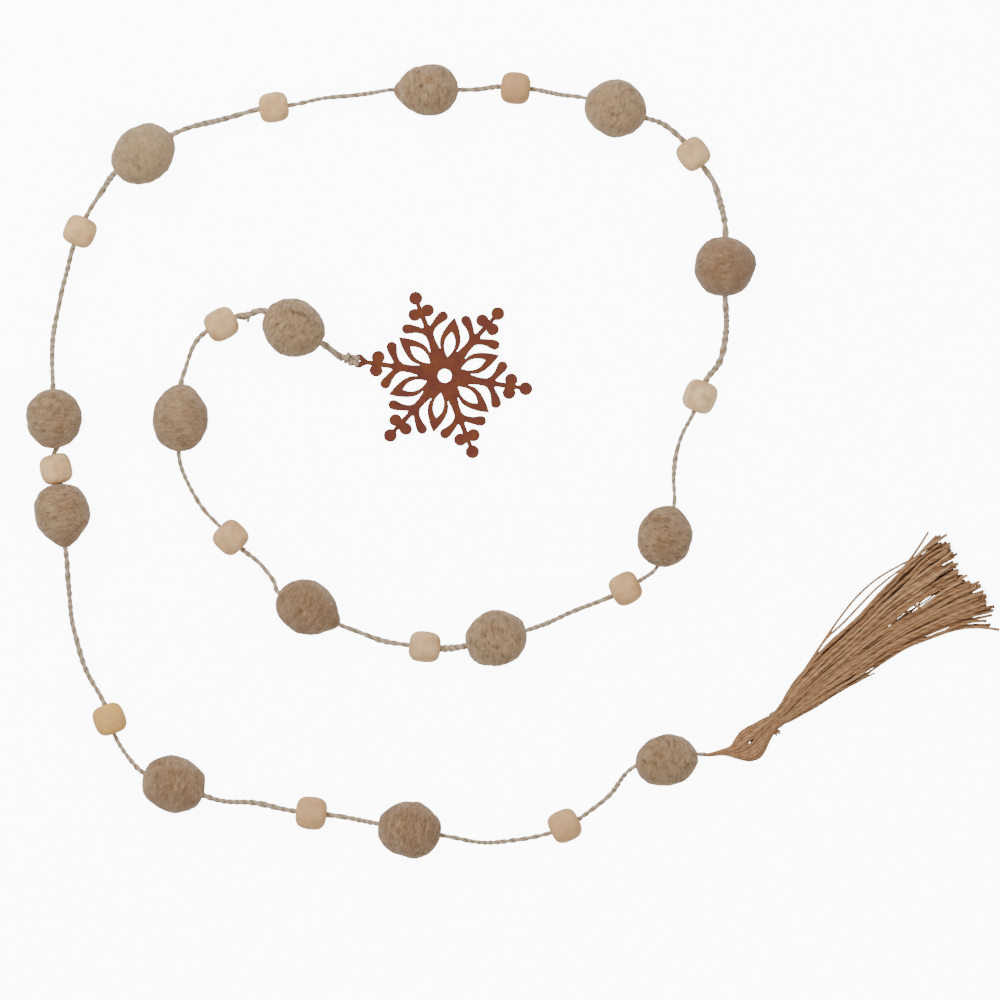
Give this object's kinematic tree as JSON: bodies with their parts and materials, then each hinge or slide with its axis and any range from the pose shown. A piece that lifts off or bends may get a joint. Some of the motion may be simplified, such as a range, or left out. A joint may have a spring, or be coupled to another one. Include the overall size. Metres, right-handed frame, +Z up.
{
  "type": "snowflake and tassel garland",
  "caption": "Garland of felt balls and wooden barrel beads on jute twine, with a flat metal snowflake at one end and a jute tassel at the other, laid out in a loose spiral.",
  "frame": {"origin": "on the surface under the middle of the garland's box", "axes": "+Z up from the surface; seen from above, +X to the right, towards the tassel, and +Y away from the tassel's corner"},
  "size_m": [0.4866, 0.3964, 0.0303],
  "materials": {
    "wool_felt": "matt heathered wool felt",
    "pale_wood": "raw sanded pale wood",
    "jute_twine": "two-ply jute twine",
    "jute_yarn": "loose jute yarn",
    "rusted_metal": "matt rust-brown sheet"
  },
  "bodies": {
    "root": {"cord": "jute_twine", "felt_ball_01": "wool_felt", "felt_ball_02": "wool_felt", "felt_ball_03": "wool_felt", "felt_ball_04": "wool_felt", "felt_ball_05": "wool_felt", "felt_ball_06": "wool_felt", "felt_ball_07": "wool_felt", "felt_ball_08": "wool_felt", "felt_ball_09": "wool_felt", "felt_ball_10": "wool_felt", "felt_ball_11": "wool_felt", "felt_ball_12": "wool_felt", "felt_ball_13": "wool_felt", "felt_ball_14": "wool_felt", "wood_bead_01": "pale_wood", "wood_bead_02": "pale_wood", "wood_bead_03": "pale_wood", "wood_bead_04": "pale_wood", "wood_bead_05": "pale_wood", "wood_bead_06": "pale_wood", "wood_bead_07": "pale_wood", "wood_bead_08": "pale_wood", "wood_bead_09": "pale_wood", "wood_bead_10": "pale_wood", "wood_bead_11": "pale_wood", "wood_bead_12": "pale_wood", "wood_bead_13": "pale_wood", "stop_knot": "jute_twine", "snowflake": "rusted_metal", "snowflake_knot": "jute_twine", "tassel": "jute_yarn", "tassel_tie": "jute_yarn"}
  },
  "joints": []
}
